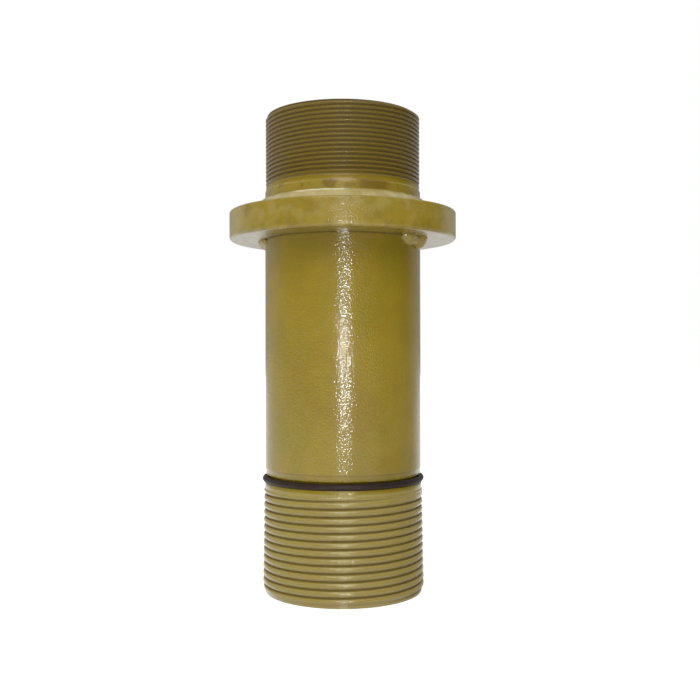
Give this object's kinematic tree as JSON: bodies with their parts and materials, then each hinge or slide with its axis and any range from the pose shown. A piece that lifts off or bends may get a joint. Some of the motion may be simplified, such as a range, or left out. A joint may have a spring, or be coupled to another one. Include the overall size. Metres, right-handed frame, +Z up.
{
  "type": "pipe adapter",
  "caption": "Painted steel pipe adapter: a tube with a fine male thread above, a coarse male thread below, a welded stop collar and a seal ring.",
  "frame": {"origin": "centre of the lower end face, on which the adapter stands", "axes": "+Z up the pipe's axis towards the fine thread; -Y is the side that the picture shows"},
  "size_m": [0.1296, 0.1296, 0.27],
  "materials": {
    "pipe_paint": "glossy olive-gold machine paint, thicker and darker on the fine thread",
    "collar_paint": "glossy olive-gold machine paint with pale worn patches",
    "weld_paint": "lumpy weld under glossy olive-gold paint",
    "seal_rubber": "smooth black nitrile rubber, slightly dusty"
  },
  "bodies": {
    "root": {"pipe_body": "pipe_paint", "collar_ring": "collar_paint", "top_weld_bead": "weld_paint", "stitch_weld_right": "weld_paint", "stitch_weld_left": "weld_paint", "o_ring": "seal_rubber"}
  },
  "joints": []
}
